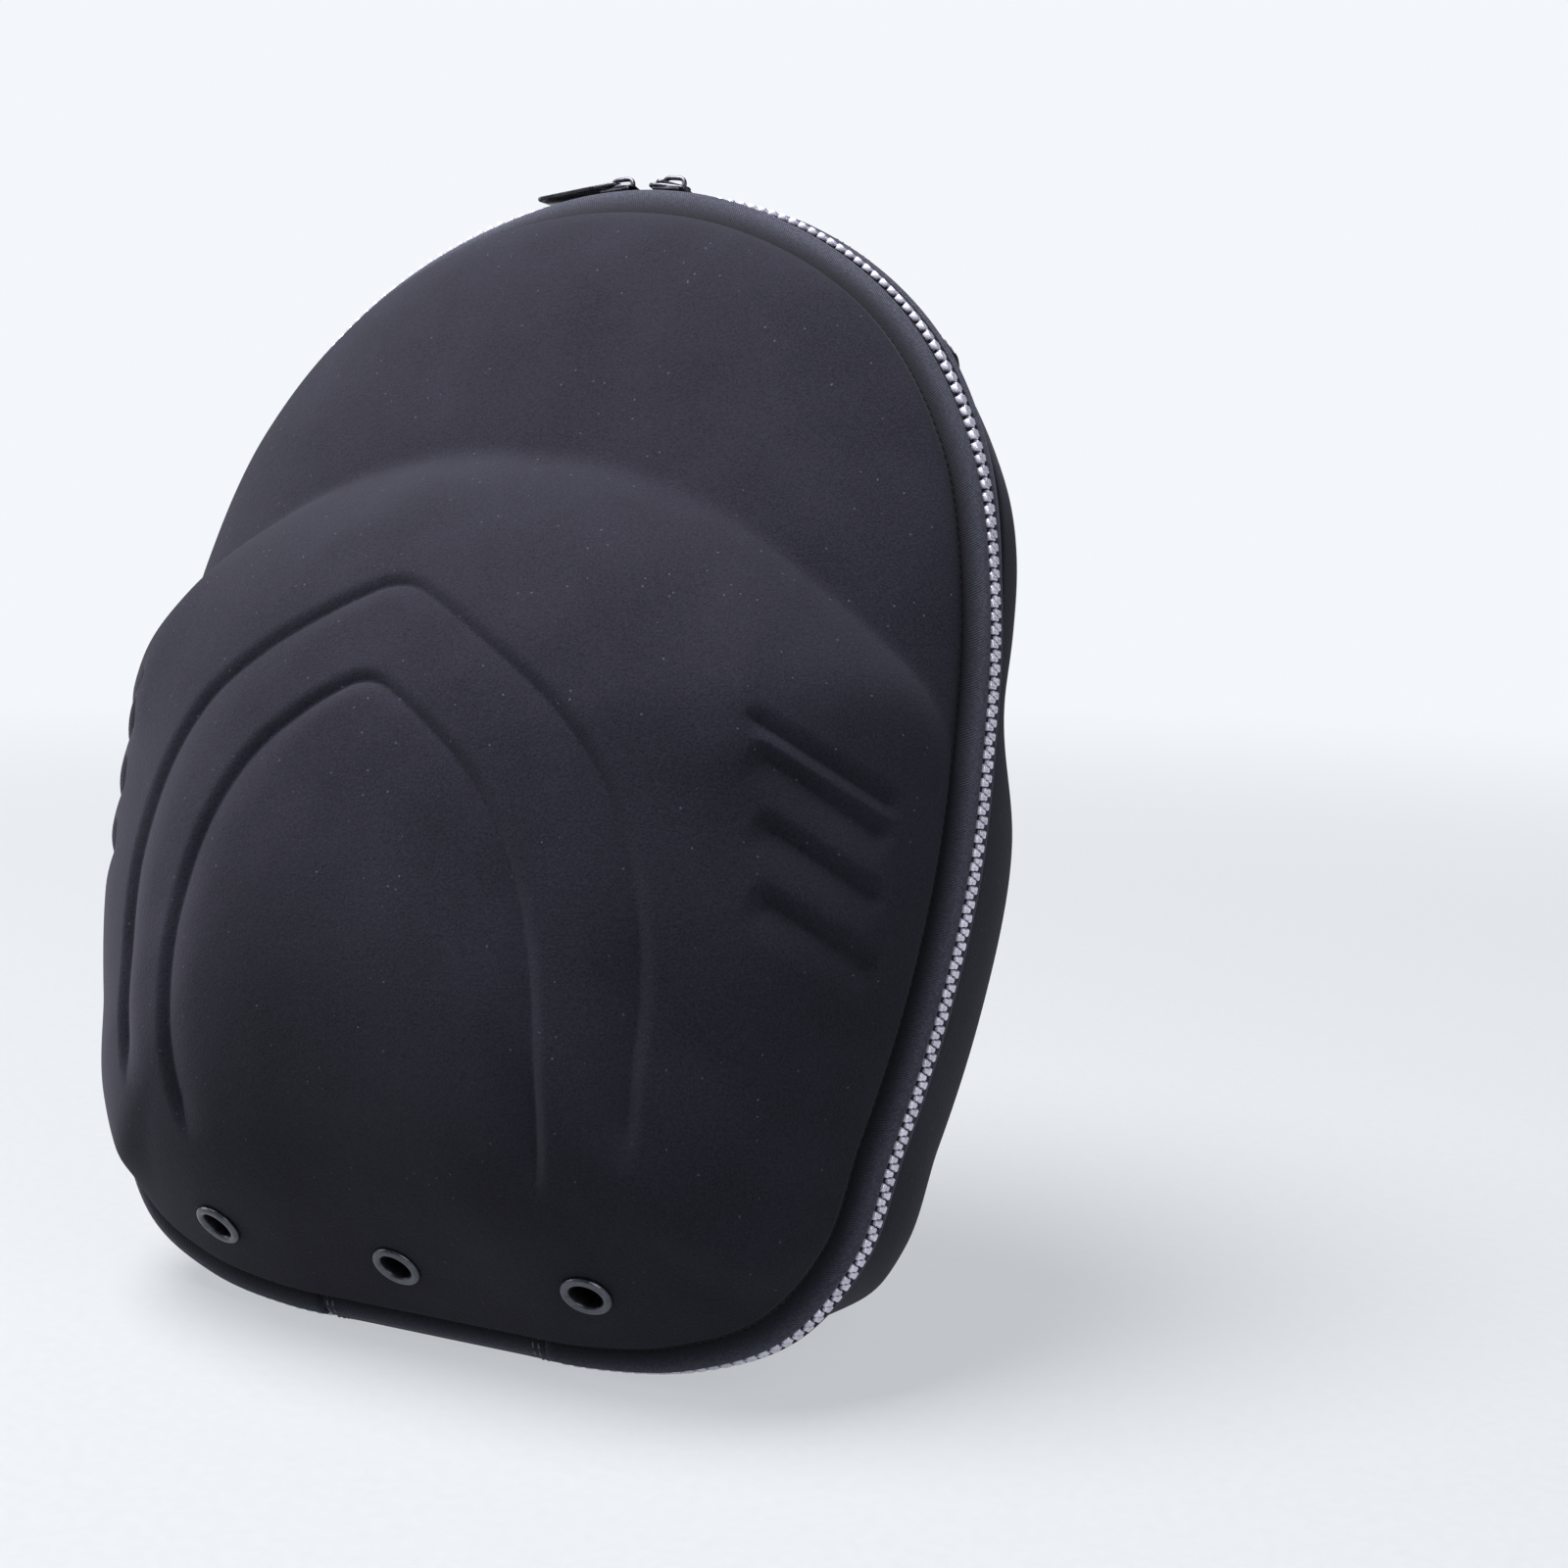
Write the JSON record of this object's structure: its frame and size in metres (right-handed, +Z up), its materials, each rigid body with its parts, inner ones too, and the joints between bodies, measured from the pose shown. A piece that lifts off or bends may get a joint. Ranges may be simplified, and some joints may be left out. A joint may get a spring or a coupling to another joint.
{
  "type": "baseball cap carrier case",
  "caption": "Moulded shell case for carrying a baseball cap: cap-shaped front with a brim, shallower back, zipper all round, vent eyelets and a webbing handle on top.",
  "frame": {"origin": "middle of the bounding box, on the ground the case stands on", "axes": "+Z up, -Y towards the front shell (the cap's crown), +X to the right seen from the front; the case leans back towards +Y"},
  "size_m": [0.24, 0.1768, 0.2847],
  "materials": {
    "shell_fabric": "fine knitted cloth over moulded foam, matt",
    "zipper_tape_fabric": "fine twill, matt",
    "zipper_teeth_plastic": "silvery lilac, glossy",
    "slider_metal": "polished gunmetal",
    "eyelet_metal": "satin gunmetal",
    "handle_webbing": "woven webbing, matt"
  },
  "bodies": {
    "case": {"front_shell": "shell_fabric", "back_shell": "shell_fabric", "zipper_tape_front": "zipper_tape_fabric", "zipper_tape_back": "zipper_tape_fabric", "zipper_chain_right": "zipper_teeth_plastic", "zipper_chain_left": "zipper_teeth_plastic", "hinge_cover": "zipper_tape_fabric", "slider_left": "slider_metal", "slider_right": "slider_metal", "eyelet_left": "eyelet_metal", "eyelet_centre": "eyelet_metal", "eyelet_right": "eyelet_metal", "carry_handle": "handle_webbing"},
    "left_pull": {"pull_left": "slider_metal"},
    "right_pull": {"pull_right": "slider_metal"}
  },
  "joints": [
    {"name": "left_pull_swing", "type": "hinge", "parent": "case", "child": "left_pull", "pos_m": [-0.0077, 0.05034, 0.28258], "axis": [0, 0.9481, -0.3178], "range_deg": [0, 150]},
    {"name": "right_pull_swing", "type": "hinge", "parent": "case", "child": "right_pull", "pos_m": [0.0077, 0.05034, 0.28258], "axis": [0.8168, 0.5239, -0.2417], "range_deg": [0, 160]}
  ]
}
